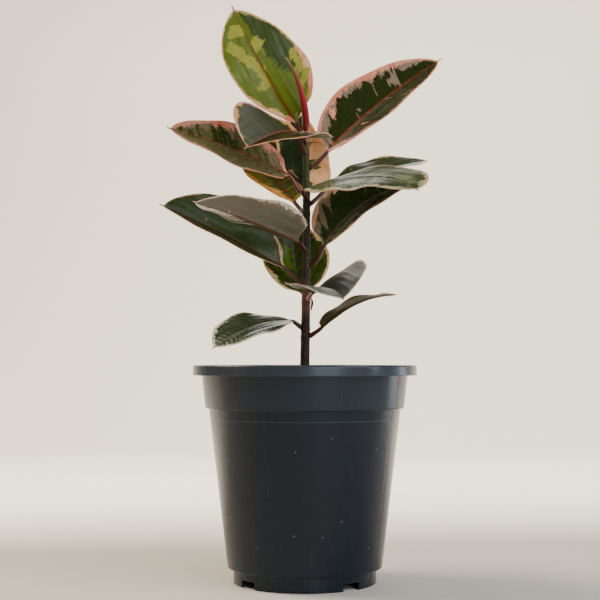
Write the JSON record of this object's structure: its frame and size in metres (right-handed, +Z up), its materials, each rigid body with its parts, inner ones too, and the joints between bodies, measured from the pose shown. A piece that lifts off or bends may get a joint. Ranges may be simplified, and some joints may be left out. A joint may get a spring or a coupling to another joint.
{
  "type": "potted rubber plant",
  "caption": "Young variegated rubber plant: one upright stem with broad folded leaves, in a round tapered nursery pot filled with soil.",
  "frame": {"origin": "centre of the pot's foot ring, on the surface the pot stands on", "axes": "+Z up along the pot's axis; -Y is the side seen in the picture; +X is to the viewer's right"},
  "size_m": [0.2133, 0.165, 0.4097],
  "materials": {
    "pot_plastic": "injection-moulded charcoal polypropylene, half gloss",
    "potting_soil": "loose peat and bark mix, matt",
    "stem_bark": "young green-brown bark, dull",
    "stem_scale": "dry brown scale, matt",
    "bud_sheath": "waxy crimson sheath, satin",
    "leaf_blade": "thick waxy leaf, glossy, green with pink and cream margins"
  },
  "bodies": {
    "root": {"pot": "pot_plastic", "soil": "potting_soil", "stem": "stem_bark", "stem_scale": "stem_scale", "bud_sheath": "bud_sheath", "leaf_01_top_left": "leaf_blade", "leaf_02_upper_right": "leaf_blade", "leaf_03_left": "leaf_blade", "leaf_04_front": "leaf_blade", "leaf_05_back": "leaf_blade", "leaf_06_back_left": "leaf_blade", "leaf_07_front_right": "leaf_blade", "leaf_08_right": "leaf_blade", "leaf_09_dark_right": "leaf_blade", "leaf_10_left": "leaf_blade", "leaf_11_front_left": "leaf_blade", "leaf_12_back_low": "leaf_blade", "leaf_13_front_low": "leaf_blade", "leaf_14_low_right": "leaf_blade", "leaf_15_low_left": "leaf_blade"}
  },
  "joints": []
}
